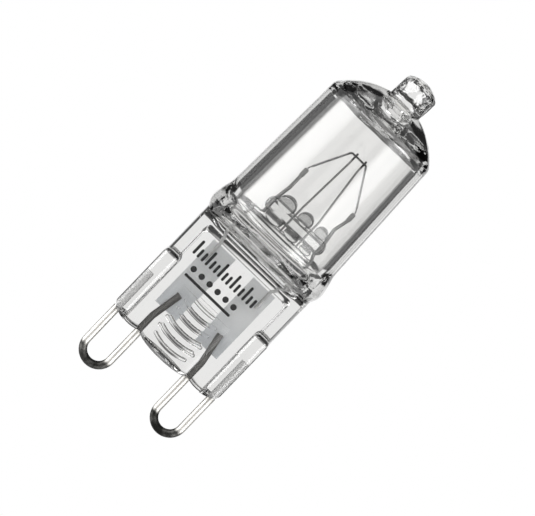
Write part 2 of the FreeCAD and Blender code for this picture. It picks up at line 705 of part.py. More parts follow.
def quartz_envelope():
    glass = press_seal(pressed_tube())
    glass = glass.multiFuse(ribs() + [exhaust_tip()])
    glass = glass.cut(hollow())
    for side in SIDES.values():
        glass = glass.cut(contact_loop(side, SEAL_GAP))
        glass = glass.cut(seal_foil(side, SEAL_GAP))
        glass = glass.cut(lead_room(side, SEAL_GAP))
    return glass


def main():
    os.makedirs("parts", exist_ok=True)
    pieces = {"quartz_envelope": quartz_envelope(), "bridge_bead": bridge_bead(), "filament": filament()}
    for name, side in SIDES.items():
        pieces["contact_loop_" + name] = contact_loop(side)
        pieces["seal_foil_" + name] = seal_foil(side)
        pieces["lead_wire_" + name] = lead_wire(side)
        pieces["support_wire_" + name] = support_wire(side)
    for name, shape in pieces.items():
        shape.exportStep("parts/" + name + ".step")
        print(name, shape.ShapeType, len(shape.Solids), shape.isValid(), round(shape.Volume, 4))


main()
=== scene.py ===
import math

import bmesh
import bpy
from bpy.props import FloatProperty, FloatVectorProperty, PointerProperty
from mathutils import Matrix, Vector


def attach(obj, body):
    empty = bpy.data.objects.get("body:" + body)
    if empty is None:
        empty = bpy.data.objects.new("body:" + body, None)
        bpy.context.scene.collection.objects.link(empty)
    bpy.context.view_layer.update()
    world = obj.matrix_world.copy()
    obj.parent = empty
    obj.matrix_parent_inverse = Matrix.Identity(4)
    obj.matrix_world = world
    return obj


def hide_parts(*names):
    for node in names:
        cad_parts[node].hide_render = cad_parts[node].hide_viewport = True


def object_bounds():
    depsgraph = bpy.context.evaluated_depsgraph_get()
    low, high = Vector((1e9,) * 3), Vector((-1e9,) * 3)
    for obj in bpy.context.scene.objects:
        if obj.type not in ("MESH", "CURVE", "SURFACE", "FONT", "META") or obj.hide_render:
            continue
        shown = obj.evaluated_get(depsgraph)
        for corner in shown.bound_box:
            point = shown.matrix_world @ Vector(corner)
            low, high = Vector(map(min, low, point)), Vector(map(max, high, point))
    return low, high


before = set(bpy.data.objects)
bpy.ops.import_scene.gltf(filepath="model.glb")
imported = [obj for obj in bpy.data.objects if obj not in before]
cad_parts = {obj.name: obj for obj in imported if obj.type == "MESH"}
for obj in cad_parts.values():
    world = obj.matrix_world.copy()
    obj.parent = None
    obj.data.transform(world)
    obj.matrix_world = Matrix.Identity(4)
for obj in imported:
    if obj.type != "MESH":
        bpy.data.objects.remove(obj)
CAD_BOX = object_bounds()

bl_info = {
    "name": "Halogen Capsule Bulb",
    "version": (1, 0, 0),
    "blender": (4, 5, 0),
    "location": "3D View > Sidebar > Bulb",
    "description": "Dresses the solids of a clear quartz capsule bulb and sets up its studio",
    "category": "Object",
}

MM = 0.001
DEGREES = 180.0 / math.pi
BLACK = (0.0, 0.0, 0.0, 1.0)
WHITE = (1.0, 1.0, 1.0, 1.0)
IMAGE_WIDTH = 535

# Filament, in millimetres: its corners from foot to foot as x and z, its straight tails and its bends
FILAMENT_CORNERS = (
    (-2.18, 21.2), (-2.18, 22.0), (-0.3, 25.7), (1.5, 25.7), (3.76, 22.0), (3.76, 21.2))
TAIL_RUN = 0.35
PEAK_BEND = 0.3
COIL_STEPS = 12  # steps to a turn
COIL_SIDES = 6  # sides of the wire

# Marks on the front of the sunk panel, in millimetres: a row of ticks, a row of dots and a bar
PANEL_FACE = -1.5
INK_THICK = 0.016
TICK_COUNT = 15
TICK_LEFT = -4.35
TICK_PITCH = 0.51
TICK_FOOT = 9.2
TICKS_TO_A_LONG_ONE = 3
SHORT_TICK = 0.6  # share of the row's height
DOT_COUNT = 6
DOT_LEFT = -3.3
DOT_PITCH = 1.0
DOT_HEIGHT = 8.2
DOT_STROKES = 2.2  # a dot's diameter in strokes
MARK_BAR_MIDDLE = -0.8
MARK_BAR_HEIGHT = 7.35
MARK_BAR_LENGTH = 5.6
MARK_ROUNDING = 0.45  # share of a mark's narrow side

# Glass: its refractive index, and the grey of its body
QUARTZ_IOR = 1.458
SMOKE = (0.5, 0.497, 0.487)

# Heights between which the envelope was worked, and the waves that this left, in millimetres
SHOULDER = (12.7, 15.2)
SHOULDER_INSIDE = (4.0, 5.4)  # half widths between which its ripples end
CROWN = (28.9, 31.4)
MELTED_TIP = (32.3, 33.2)
FAINT_WAVES = 0.006
CROWN_WAVES = 0.3
TIP_WAVES = 0.6
BEAD_WAVES = 0.02

# Flat seal, in millimetres. A bow is the rise of a curve over the square of its half width, and a
# pair gives where a stroke of painted shade comes in or fades out.
TONGUE_BOW = 0.069
TONGUE_SIDE = (2.9, 3.1)
LOOP_X = 4.5
SEAL_LOBE_FOOT = 0.42
SEAL_LOBE_BOW = 0.16
RIM_DEPTH = (0.12, 0.24)
RIB_FOOT = 1.36
RIB_BOW = 0.093
RIB_PITCH = 1.0
RIB_HEIGHTS = (1.0, 5.6)
RIB_FACE = (-1.5, -1.6)
RIB_MIDDLE = (0.7, 1.6)
UNDER_RIB = 0.12  # from a rib's middle down to the stroke under it
RIB_STROKE = (0.08, 0.16)
COLUMN_TOP = (7.75, 8.2)
COLUMN_SIDE = (4.7, 4.8)
COLUMN_FACE = (1.9, 1.95)

# Bridge bead, in millimetres: heights of its upper lobes, the line at their feet and its lower edge
BEAD_LOBE_START = (17.9, 18.0)
BEAD_LOBE_TOP = (18.7, 19.2)
BEAD_LOBE_LINE = (17.95, 18.12)
BEAD_LOWER_EDGE = (16.35, 16.8)

# Shares of the light that the painted shade on the glass keeps back
RIM_DARK = 0.7
RIB_DARK = 0.95
COLUMN_DARK = 0.93
BEAD_LOBE_DARK = (0.42, 0.97)
BEAD_LINE_DARK = 0.45
BEAD_EDGE_DARK = 0.92

# Metal, in millimetres: where painted shade darkens the loops' bends, where the supports and the
# filament darken at their tops, where painted shade and a painted pale grey lie on the wire in the
# seal, where painted light pales the foils, and how much it swells into the glass
LOOP_BEND_SHADE = (-3.4, -3.9)
HOOK_TOP = (25.1, 25.4)
COIL_TOP = (25.2, 25.5)
SEAL_FOOT = (0.0, 1.0)
OUTER_LEG_SIDE = (4.3, 4.7)
OUTER_LEG_FOOT = (0.6, 1.0)
LEAD_OUT_OF_SEAL = (14.6, 15.2)
FOIL_PAINTED_LIGHT = (6.0, 9.5)
LOOP_SWELL = 0.045
FOIL_SWELL = 0.025
LEAD_SWELL = 0.024

# Surroundings, in degrees: turns from straight behind the bulb, and rises above level
WINDOW_TURN = (-20.0, 32.0)
WINDOW_RISE = (-17.0, 11.0)
DARK_TURN = (-61.0, 61.0)
DARK_RISE = (-32.0, 44.0)
LOW_CORNER_TURN = (37.0, 41.0)
LOW_CORNER_RISE = (-10.0, -14.0)
STRIP_TURNS = ((61.0, 73.0), (104.0, 122.0), (146.0, 160.0))
STRIP_RISE = (-34.0, 31.0)
CROSSBAR_TURN = (59.0, 63.0)
CROSSBAR_RISES = ((-36.0, -24.0), (13.0, 31.0))
SOFTBOX_TURNS = ((-132.0, -85.0), (112.0, 147.0))
SOFTBOX_RISE = (-40.0, 24.0)
TURN_SOFT = 3.0
RISE_SOFT = 2.5
STRIP_SOFT = 2.0
SOFTBOX_TURN_SOFT = 7.0
SOFTBOX_RISE_SOFT = 4.0

# Levels of light, where 1 is white, and shares that the dark surround and the lattice keep back
STUDIO_LEVEL = 0.95
SOFTBOX_LEVEL = 6.0
BESIDE_WINDOW_DARK = 0.92
OVER_WINDOW_DARK = 0.98
LATTICE_DARK = 0.75

# Lamps: name, place and diameter in metres, and power in watts
LAMPS = (
    ("key lamp", (-0.35, -0.45, 0.45), 0.35, 2.2),
    ("fill lamp", (0.45, -0.35, 0.25), 0.3, 1.0),
)
FLOOR_FADE = (0.5, 0.95)  # shares of the floor's radius

LOOPS = ["contact_loop_left", "contact_loop_right"]
FOILS = ["seal_foil_left", "seal_foil_right"]
LEADS = ["lead_wire_left", "lead_wire_right"]
SUPPORTS = ["support_wire_left", "support_wire_right"]


class Signal:
    """One output of a shader node. Arithmetic on it adds Math nodes to the same tree."""

    def __init__(self, tree, socket=None):
        self.tree = tree
        self.socket = socket

    def node(self, kind, settings=None, values=None, output=0):
        """Adds a node of any kind: its settings first, then the values or links of its sockets."""
        made = self.tree.nodes.new(kind)
        for name, value in (settings or {}).items():
            setattr(made, name, value)
        for name, value in (values or {}).items():
            if isinstance(value, Signal):
                self.tree.links.new(value.socket, made.inputs[name])
            else:
                made.inputs[name].default_value = value
        return Signal(self.tree, made.outputs[output] if len(made.outputs) else None)

    def math(self, operation, *values):
        """Adds a Math node."""
        return self.node("ShaderNodeMath", {"operation": operation}, dict(enumerate(values)))

    def __add__(self, other):
        return self.math("ADD", self, other)

    def __radd__(self, other):
        return self.math("ADD", other, self)

    def __sub__(self, other):
        return self.math("SUBTRACT", self, other)

    def __rsub__(self, other):
        return self.math("SUBTRACT", other, self)

    def __mul__(self, other):
        return self.math("MULTIPLY", self, other)

    def __rmul__(self, other):
        return self.math("MULTIPLY", other, self)

    def __truediv__(self, other):
        return self.math("DIVIDE", self, other)

    def __abs__(self):
        return self.math("ABSOLUTE", self)

    def smooth_step(self, start, end, low=0.0, high=1.0):
        """Goes smoothly from low to high as this value goes from start to end."""
        return self.node(
            "ShaderNodeMapRange",
            {"interpolation_type": "SMOOTHSTEP"},
            {0: self, 1: start, 2: end, 3: low, 4: high},
        )

    def mixed(self, first, second):
        """The first colour where this value is 0, and the second where it is 1."""
        settings = {"data_type": "RGBA", "clamp_factor": True}
        return self.node("ShaderNodeMix", settings, {0: self, 6: first, 7: second}, 2)

    def noise(self, scale, detail=2.0, roughness=0.5, stretch=(1.0, 1.0, 1.0)):
        """Noise on the piece's own coordinates, with about scale blobs to the metre."""
        place = self.node("ShaderNodeTexCoord", output="Object")
        stretched = self.node("ShaderNodeMapping", None, {"Vector": place, "Scale": stretch})
        sockets = {"Vector": stretched, "Scale": scale, "Detail": detail, "Roughness": roughness}
        return self.node("ShaderNodeTexNoise", None, sockets)

    def along(self, axis):
        """Place on the piece along one axis, in millimetres."""
        place = self.node("ShaderNodeTexCoord", output="Object")
        return self.node("ShaderNodeSeparateXYZ", None, {0: place}, axis) / MM

    def band(self, start, end, soft):
        """1 where this value lies between start and end, with soft edges, and 0 elsewhere."""
        rise = self.smooth_step(start - soft, start + soft)
        return rise * self.smooth_step(end - soft, end + soft, 1.0, 0.0)

    def bump(self, height, strength, distance):
        """A normal for a surface that rises by distance, in metres, where height goes from 0 to 1."""
        sockets = {"Height": height, "Strength": strength, "Distance": distance}
        return self.node("ShaderNodeBump", None, sockets)


def new_material(name):
    """An empty material, and a signal to build its nodes on."""
    material = bpy.data.materials.new(name)
    material.use_nodes = True
    material.node_tree.nodes.clear()
    return material, Signal(material.node_tree)


def toned(colour, share=1.0):
    """A colour times a share, as a socket takes it."""
    return (*[part * share for part in colour], 1.0)


def set_surface(signal, shader):
    """Ends a material in its shader."""
    signal.node("ShaderNodeOutputMaterial", None, {"Surface": shader})


def glass_finish(name, colour, smokiness, waves, shade=None):
    """Clear, fire-polished glass that greys with its thickness, with waves where it was worked.

    A shade gives painted shade: how much of the light the glass keeps back, from 0 to 1, over the
    piece.
    """
    material, start = new_material(name)
    specks = start.noise(2600.0, detail=3.0, roughness=0.6)
    tint = specks.smooth_step(0.35, 0.7).mixed(toned(colour), toned(colour, share=0.985))
    # painted shade: the shade mixes the glass's tint towards black
    if shade:
        tint = shade(start).mixed(tint, BLACK)
    shader = start.node("ShaderNodeBsdfPrincipled", None, {
        "Base Color": tint,
        "Roughness": specks.smooth_step(0.4, 0.8, 0.0, 0.012),
        "Normal": start.bump(waves(start), strength=1.0, distance=MM),
        "IOR": QUARTZ_IOR,
        "Transmission Weight": 1.0,
    })
    body = start.node("ShaderNodeVolumeAbsorption", None, {
        "Color": toned(SMOKE), "Density": smokiness,
    })
    start.node("ShaderNodeOutputMaterial", None, {"Surface": shader, "Volume": body})
    return material


def envelope_waves(start):
    """Waves of the envelope in millimetres: faint, and stronger on the shoulder, crown and tip."""
    height = start.along("Z")
    inside = abs(start.along("X")).smooth_step(*SHOULDER_INSIDE, 1.0, 0.0)
    faint = start.noise(420.0, detail=2.0, roughness=0.4) * FAINT_WAVES
    ripples = start.noise(300.0, detail=0.0, roughness=0.4, stretch=(0.25, 0.4, 3.2))
    ripples = ripples * height.band(*SHOULDER, 0.5) * inside
    crown = start.noise(350.0, detail=2.0, roughness=0.5, stretch=(0.5, 0.5, 2.2))
    crown = crown * height.band(*CROWN, 0.6) * CROWN_WAVES
    melted = start.noise(900.0, detail=1.0, roughness=0.4)
    melted = melted * height.smooth_step(*MELTED_TIP) * TIP_WAVES
    return faint + ripples + crown + melted


def envelope_shade(start):
    """Painted shade on the glass of the flat seal: dark strokes in its tint.

    They lie along the three curves of its lower rim, under the front ribs and on the columns' tops.
    """
    across = abs(start.along("X"))
    depth = start.along("Y")
    height = start.along("Z")
    tongue = across * across * TONGUE_BOW
    from_loop = across - LOOP_X
    lobe = from_loop * from_loop * SEAL_LOBE_BOW + SEAL_LOBE_FOOT
    curve = tongue + across.smooth_step(*TONGUE_SIDE) * (lobe - tongue)
    # painted shade along the three curves of the lower rim
    rim = (height - curve).smooth_step(*RIM_DEPTH, RIM_DARK, 0.0)

    # painted shade in strokes under the front ribs
    above_rib = height - across * across * RIB_BOW - RIB_FOOT
    from_stroke = above_rib.math("PINGPONG", above_rib + UNDER_RIB, RIB_PITCH / 2)
    strokes = from_stroke.smooth_step(*RIB_STROKE, RIB_DARK, 0.0)
    strokes = strokes * across.smooth_step(*RIB_MIDDLE, 1.0, 0.0)
    strokes = strokes * depth.smooth_step(*RIB_FACE) * height.band(*RIB_HEIGHTS, 0.1)

    # painted shade on the columns' tops
    ledges = height.band(*COLUMN_TOP, 0.06) * across.smooth_step(*COLUMN_SIDE)
    ledges = ledges * abs(depth).smooth_step(*COLUMN_FACE) * COLUMN_DARK
    return rim.math("MAXIMUM", rim, strokes + ledges)


def bead_waves(start):
    """Waves of the bridge bead, in millimetres."""
    return start.noise(900.0, detail=2.0, roughness=0.4) * BEAD_WAVES


def bead_shade(start):
    """Painted shade on the bead: dark on the lobes above its bar, most at their tops, and on its lower
    edge.
    """
    height = start.along("Z")
    lobes = height.smooth_step(*BEAD_LOBE_START) * height.smooth_step(*BEAD_LOBE_TOP, *BEAD_LOBE_DARK)
    line = height.band(*BEAD_LOBE_LINE, 0.05) * BEAD_LINE_DARK
    return lobes + line + height.band(*BEAD_LOWER_EDGE, 0.1) * BEAD_EDGE_DARK


def drawn_wire_finish(
    name, colour, dark, dark_heights, roughness, matte=None, painted_pale_grey=0.98, seal_shade_share=1.0,
):
    """Drawn metal wire with fine streaks, that darkens between two heights: painted shade on the loops'
    bends, and a darker top on the supports and the filament.

    Matte gives where the wire is painted a pale matte grey, which stands in for the bright light
    that its metal reflects inside the glass, and the seal share how much of its colour painted shade
    leaves above the foot of the seal.
    """
    material, start = new_material(name)
    streaks = start.noise(2500.0, detail=2.0, roughness=0.5, stretch=(1.0, 1.0, 0.12))
    blotches = start.noise(900.0, detail=3.0, roughness=0.55)
    height = start.along("Z")
    shade = (streaks * 0.5 + blotches * 0.5).smooth_step(0.3, 0.7, 0.85, 1.0)
    # painted shade: above the foot of the seal the wire's colour falls to a share, darkening the loops'
    # inner legs
    streaks_and_seal_shade = shade * height.smooth_step(*SEAL_FOOT, 1.0, seal_shade_share)
    bright = streaks_and_seal_shade.mixed(BLACK, toned(colour))
    # painted shade: the loops darken at their bends; the supports and the filament darken at their tops
    dark_band = height.smooth_step(*dark_heights) * blotches.smooth_step(0.2, 0.6, 0.75, 1.0)
    tone = dark_band.mixed(bright, toned(dark))
    metallic = 1.0
    # painted reflection: the wire turns to a pale matte grey, in place of the bright light its metal
    # reflects
    if matte:
        painted_pale_share = matte(start)
        tone = painted_pale_share.mixed(tone, shade.mixed(BLACK, toned((painted_pale_grey, painted_pale_grey, painted_pale_grey))))
        metallic = 1.0 - painted_pale_share
    shader = start.node("ShaderNodeBsdfPrincipled", None, {
        "Base Color": tone,
        "Metallic": metallic,
        "Roughness": streaks.smooth_step(0.2, 0.8, roughness - 0.06, roughness + 0.06),
        "Normal": start.bump(streaks, strength=0.1, distance=0.004 * MM),
    })
    set_surface(start, shader)
    return material


def outer_legs(start):
    """The loops' outer legs where they stand in the columns of the seal, which get a painted pale grey.
    """
    aside = abs(start.along("X")).smooth_step(*OUTER_LEG_SIDE)
    return aside * start.along("Z").smooth_step(*OUTER_LEG_FOOT)


def sealed_leads(start):
    """The leads where they stand in the flat seal and its shoulder, which get a painted pale grey."""
    return start.along("Z").smooth_step(*LEAD_OUT_OF_SEAL, 0.8, 0.0)


def foil_finish(name, colour, pale):
    """Rolled foil, blue-grey with painted light at its upper end, fine rolling lines and soft blotches.
    """
    material, start = new_material(name)
    lines = start.noise(3000.0, detail=3.0, roughness=0.6, stretch=(1.0, 1.0, 0.08))
    clouds = start.noise(450.0, detail=3.0, roughness=0.5)
    shade = (lines * 0.3 + clouds * 0.7).smooth_step(0.35, 0.65)
    grey = shade.mixed(toned(colour, share=0.8), toned(colour))
    # painted light: the foil pales and loses its metal towards its upper end
    upper = (start.along("Z") + clouds * 3.0).smooth_step(*FOIL_PAINTED_LIGHT)
    shader = start.node("ShaderNodeBsdfPrincipled", None, {
        "Base Color": upper.mixed(grey, toned(pale)),
        "Metallic": upper.smooth_step(0.0, 1.0, 0.45, 0.0),
        "Roughness": clouds.smooth_step(0.3, 0.7, 0.35, 0.5),
        "Normal": start.bump(lines, strength=0.2, distance=0.02 * MM),
    })
    set_surface(start, shader)
    return material


def ink_finish(name, colour):
    """Matt printing ink, a little uneven."""
    material, start = new_material(name)
    grain = start.noise(6000.0, detail=3.0, roughness=0.6)
    shader = start.node("ShaderNodeBsdfPrincipled", None, {
        "Base Color": grain.smooth_step(0.3, 0.75).mixed(toned(colour), toned(colour, share=2.2)),
        "Roughness": grain.smooth_step(0.3, 0.7, 0.5, 0.7),
        "Specular IOR Level": 0.1,
    })
    set_surface(start, shader)
    return material


def mesh_piece(name, bm, material, replaced=()):
    """Makes a piece of the object from a bmesh in millimetres, and seats it on the frame."""
    bmesh.ops.scale(bm, vec=(MM, MM, MM), verts=bm.verts)
    mesh = bpy.data.meshes.new(name)
    bm.to_mesh(mesh)
    bm.free()
    mesh.materials.append(material)
    mesh.shade_smooth()
    piece = bpy.data.objects.new(name, mesh)
    bpy.context.scene.collection.objects.link(piece)
    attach(piece, "root")
    if replaced:
        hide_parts(*replaced)
    return piece


def dress_node(name, material, swell=0.0):
    """Gives a solid's node its finish, and with a swell in millimetres closes the fit gap round it."""
    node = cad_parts[name]
    node.data.materials.clear()
    node.data.materials.append(material)
    if swell:
        weld = node.modifiers.new("Weld", "WELD")
        weld.merge_threshold = 1e-6
        thicken = node.modifiers.new("Seat in glass", "DISPLACE")
        thicken.mid_level = 0.0
        thicken.strength = swell * MM
    return node


def bent_path(points, radius, steps=10):
    """The points of a path, in millimetres, with each corner rounded to an arc."""
    path = [points[0]]
    for before, corner, after in zip(points, points[1:], points[2:]):
        back, forth = (before - corner).normalized(), (after - corner).normalized()
        half = back.angle(forth) / 2
        middle = corner + (back + forth).normalized() * (radius / math.sin(half))
        first = corner + back * (radius / math.tan(half)) - middle
        last = corner + forth * (radius / math.tan(half)) - middle
        for step in range(steps + 1):
            path.append(middle + first.slerp(last, step / steps) * radius)
    return path + [points[-1]]


def lay_along(bm, path, side):
    """Bends a straight piece, which stands on the origin, on to a path that lies square to side."""
    lengths = [(b - a).length for a, b in zip(path, path[1:])]
    for vert in bm.verts:
        run = vert.co.z
        step = 0
        while step < len(lengths) - 1 and run > lengths[step]:
            run -= lengths[step]
            step += 1
        forth = (path[step + 1] - path[step]).normalized()
        vert.co = path[step] + forth * run + side.cross(forth) * vert.co.x + side * vert.co.y


def straight_coil(bm, length, across, wire, pitch):
    """A coil of round wire that stands on the origin."""
    turns = length / pitch
    ring = bmesh.ops.create_circle(bm, cap_ends=False, segments=COIL_SIDES, radius=wire / 2)["verts"]
    bmesh.ops.rotate(bm, matrix=Matrix.Rotation(math.radians(90.0), 3, "X"), verts=ring)
    bmesh.ops.translate(bm, vec=((across - wire) / 2, 0.0, 0.0), verts=ring)
    bmesh.ops.spin(
        bm, geom=bm.verts[:] + bm.edges[:], cent=(0.0, 0.0, 0.0), axis=(0.0, 0.0, 1.0),
        dvec=(0.0, 0.0, pitch / COIL_STEPS), angle=2 * math.pi * turns, steps=round(turns * COIL_STEPS))
    bmesh.ops.holes_fill(bm, edges=[e for e in bm.edges if e.is_boundary], sides=COIL_SIDES)
    bmesh.ops.recalc_face_normals(bm, faces=bm.faces)


def rod(bm, foot, top, wire):
    """A straight length of wire with round ends."""
    run = top - foot
    turn = run.to_track_quat("Z", "Y").to_matrix().to_4x4()
    bmesh.ops.create_cone(
        bm, cap_ends=True, segments=12, radius1=wire / 2, radius2=wire / 2, depth=run.length,
        matrix=Matrix.Translation((foot + top) / 2) @ turn)
    for end in (foot, top):
        bmesh.ops.create_uvsphere(
            bm, u_segments=12, v_segments=8, radius=wire / 2, matrix=Matrix.Translation(end))


def printed_bar(bm, x, z, width, height, face):
    """A flat bar with rounded ends, that lies on the front face."""
    place = Matrix.Translation((x, face, z)) @ Matrix.Diagonal((width, INK_THICK, height, 1.0))
    verts = bmesh.ops.create_cube(bm, size=1.0, matrix=place)["verts"]
    corners = {e for v in verts for e in v.link_edges
               if abs(e.verts[0].co.y - e.verts[1].co.y) > INK_THICK / 2}
    bmesh.ops.bevel(
        bm, geom=list(corners), offset=min(width, height) * MARK_ROUNDING, offset_type="OFFSET",
        segments=4, profile=0.5, affect="EDGES", material=-1)


def printed_dot(bm, x, z, across, face):
    """A flat dot that lies on the front face."""
    place = Matrix.Translation((x, face, z)) @ Matrix.Rotation(math.radians(90.0), 4, "X")
    bmesh.ops.create_cone(
        bm, cap_ends=True, segments=24, radius1=across / 2, radius2=across / 2, depth=INK_THICK,
        matrix=place)


class BulbGlass(bpy.types.PropertyGroup):
    """The quartz envelope and the bridge bead."""

    quartz_colour: FloatVectorProperty(
        name="Quartz", description="Colour of the envelope's glass",
        subtype="COLOR", size=3, min=0.0, max=1.0, default=(0.945, 0.943, 0.935),
    )
    smokiness: FloatProperty(
        name="Smokiness", description="How much the glass greys with its thickness", default=70.0,
    )
    bead_colour: FloatVectorProperty(
        name="Bead glass", description="Colour of the bridge bead's glass",
        subtype="COLOR", size=3, min=0.0, max=1.0, default=(0.9, 0.905, 0.9),
    )


class BulbMetal(bpy.types.PropertyGroup):
    """The wires, foils and filament."""

    contact_colour: FloatVectorProperty(
        name="Contact wire", description="Colour of the looped pins",
        subtype="COLOR", size=3, min=0.0, max=1.0, default=(0.42, 0.41, 0.39),
    )
    # painted shade on the loops' bends, also the colour of the darker tops of the supports and filament
    contact_dark: FloatVectorProperty(
        name="Dark bend", description="Colour of the looped pins at their bends",
        subtype="COLOR", size=3, min=0.0, max=1.0, default=(0.012, 0.012, 0.011),
    )
    foil_colour: FloatVectorProperty(
        name="Seal foil", description="Colour of the foils in the flat seal",
        subtype="COLOR", size=3, min=0.0, max=1.0, default=(0.79, 0.825, 0.865),
    )
    # painted light: the colour that the foils' upper ends are painted towards
    foil_painted_light: FloatVectorProperty(
        name="Pale foil", description="Colour of the foils at their upper ends",
        subtype="COLOR", size=3, min=0.0, max=1.0, default=(0.94, 0.96, 0.98),
    )
    inner_colour: FloatVectorProperty(
        name="Inner wire", description="Colour of the leads and supports",
        subtype="COLOR", size=3, min=0.0, max=1.0, default=(0.3, 0.3, 0.3),
    )
    filament_colour: FloatVectorProperty(
        name="Filament", description="Colour of the coiled wire",
        subtype="COLOR", size=3, min=0.0, max=1.0, default=(0.3, 0.3, 0.31),
    )
    coil_across: FloatProperty(
        name="Coil", description="Outside diameter of the filament's coil",
        unit="LENGTH", default=0.24 * MM,
    )
    tail_wire: FloatProperty(
        name="Tail", description="Diameter of the filament's straight tails",
        unit="LENGTH", default=0.12 * MM,
    )
    coil_wire: FloatProperty(
        name="Coil wire", description="Diameter of the wire that the filament is wound from",
        unit="LENGTH", default=0.055 * MM,
    )
    coil_pitch: FloatProperty(
        name="Coil pitch", description="Distance between two turns of the filament",
        unit="LENGTH", default=0.085 * MM,
    )


class BulbPrint(bpy.types.PropertyGroup):
    """The plain marks on the front of the flat seal."""

    ink_colour: FloatVectorProperty(
        name="Ink", description="Colour of the printed marks",
        subtype="COLOR", size=3, min=0.0, max=1.0, default=(0.012, 0.012, 0.012),
    )
    stroke_width: FloatProperty(
        name="Stroke", description="Width of one printed stroke",
        unit="LENGTH", default=0.27 * MM,
    )
    row_height: FloatProperty(
        name="Row height", description="Height of the row of ticks",
        unit="LENGTH", default=1.55 * MM,
    )


class BulbStudio(bpy.types.PropertyGroup):
    """The camera, the lights and the floor."""

    elevation: FloatProperty(
        name="Elevation", description="Height of the camera above the level view",
        subtype="ANGLE", default=math.radians(6.0),
    )
    roll: FloatProperty(
        name="Roll", description="Turn of the camera about its own line of sight",
        subtype="ANGLE", default=math.radians(43.9),
    )
    distance: FloatProperty(
        name="Distance", description="From the camera to the bulb",
        unit="LENGTH", default=0.45,
    )
    scale: FloatProperty(
        name="Image scale", description="Pixels to the millimetre at the bulb", default=11.0,
    )
    aim: FloatVectorProperty(
        name="Aim", description="Point of the bulb in the middle of the picture",
        subtype="TRANSLATION", unit="LENGTH", size=3, default=(0.82 * MM, 0.0, 13.44 * MM),
    )
    floor_drop: FloatProperty(
        name="Floor", description="How far the floor lies below the loops",
        unit="LENGTH", default=0.08,
    )
    floor_radius: FloatProperty(
        name="Floor radius", description="How far the floor reaches round the bulb",
        unit="LENGTH", default=0.09,
    )
    floor_colour: FloatVectorProperty(
        name="Floor colour", description="Colour of the pale floor",
        subtype="COLOR", size=3, min=0.0, max=1.0, default=(0.85, 0.85, 0.85),
    )


class BULB_OT_glass(bpy.types.Operator):
    """Gives the quartz envelope and the bridge bead their glass"""

    bl_idname = "bulb.glass"
    bl_label = "Glass"

    def execute(self, context):
        glass = context.scene.bulb_glass
        quartz = glass_finish(
            "quartz", glass.quartz_colour, glass.smokiness, envelope_waves, envelope_shade)
        bead = glass_finish(
            "bead_glass", glass.bead_colour, glass.smokiness, bead_waves, bead_shade)
        dress_node("quartz_envelope", quartz)
        dress_node("bridge_bead", bead)
        return {"FINISHED"}


class BULB_OT_metal(bpy.types.Operator):
    """Gives the loops, foils, leads and supports their metal"""

    bl_idname = "bulb.metal"
    bl_label = "Metal"

    def execute(self, context):
        metal = context.scene.bulb_metal
        # painted shade darkens the loops in the seal; their outer legs are painted a pale matte grey
        # instead
        contact = drawn_wire_finish(
            "contact_wire", metal.contact_colour, metal.contact_dark, LOOP_BEND_SHADE, roughness=0.45,
            matte=outer_legs, painted_pale_grey=0.98, seal_shade_share=0.44)
        inner = drawn_wire_finish(
            "inner_wire", metal.inner_colour, metal.contact_dark, HOOK_TOP, roughness=0.35,
            matte=sealed_leads, painted_pale_grey=0.75)
        foil = foil_finish("seal_foil", metal.foil_colour, metal.foil_painted_light)
        for name in LOOPS:
            dress_node(name, contact, LOOP_SWELL)
        for name in FOILS:
            dress_node(name, foil, FOIL_SWELL)
        for name in LEADS:
            dress_node(name, inner, LEAD_SWELL)
        for name in SUPPORTS:
            dress_node(name, inner)
        return {"FINISHED"}


class BULB_OT_filament(bpy.types.Operator):
    """Winds the filament's coil and joins it to its two tails"""

    bl_idname = "bulb.filament"
    bl_label = "Filament"

    def execute(self, context):
        metal = context.scene.bulb_metal
        box = [Vector(corner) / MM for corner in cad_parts["filament"].bound_box]
        depth = (min(corner.y for corner in box) + max(corner.y for corner in box)) / 2
        corners = [Vector((x, depth, z)) for x, z in FILAMENT_CORNERS]
        coil_ends = [corners[1] + (corners[2] - corners[1]).normalized() * TAIL_RUN,
                     corners[4] + (corners[3] - corners[4]).normalized() * TAIL_RUN]
        path = bent_path([coil_ends[0], corners[2], corners[3], coil_ends[1]], PEAK_BEND)
        length = sum((b - a).length for a, b in zip(path, path[1:]))
        bm = bmesh.new()
        straight_coil(
            bm, length, metal.coil_across / MM, metal.coil_wire / MM, metal.coil_pitch / MM)
        lay_along(bm, path, Vector((0.0, 1.0, 0.0)))
        for foot, bend, end in ((*corners[:2], coil_ends[0]), (*corners[:-3:-1], coil_ends[1])):
            rod(bm, foot, bend, metal.tail_wire / MM)
            rod(bm, bend, end, metal.tail_wire / MM)
        tungsten = drawn_wire_finish(
            "tungsten", metal.filament_colour, metal.contact_dark, COIL_TOP, roughness=0.35)
        mesh_piece("wound_filament", bm, tungsten, ["filament"])
        return {"FINISHED"}


class BULB_OT_print(bpy.types.Operator):
    """Prints a row of ticks, a row of dots and a bar on the front of the flat seal"""

    bl_idname = "bulb.print"
    bl_label = "Print"

    def execute(self, context):
        marks = context.scene.bulb_print
        stroke, tall = marks.stroke_width / MM, marks.row_height / MM
        bm = bmesh.new()
        for step in range(TICK_COUNT):
            height = tall if step % TICKS_TO_A_LONG_ONE == 0 else tall * SHORT_TICK
            x = TICK_LEFT + step * TICK_PITCH
            printed_bar(bm, x, TICK_FOOT + height / 2, stroke, height, PANEL_FACE)
        for step in range(DOT_COUNT):
            x = DOT_LEFT + step * DOT_PITCH
            printed_dot(bm, x, DOT_HEIGHT, stroke * DOT_STROKES, PANEL_FACE)
        printed_bar(bm, MARK_BAR_MIDDLE, MARK_BAR_HEIGHT, MARK_BAR_LENGTH, stroke, PANEL_FACE)
        mesh_piece("front_marks", bm, ink_finish("ink", marks.ink_colour))
        return {"FINISHED"}


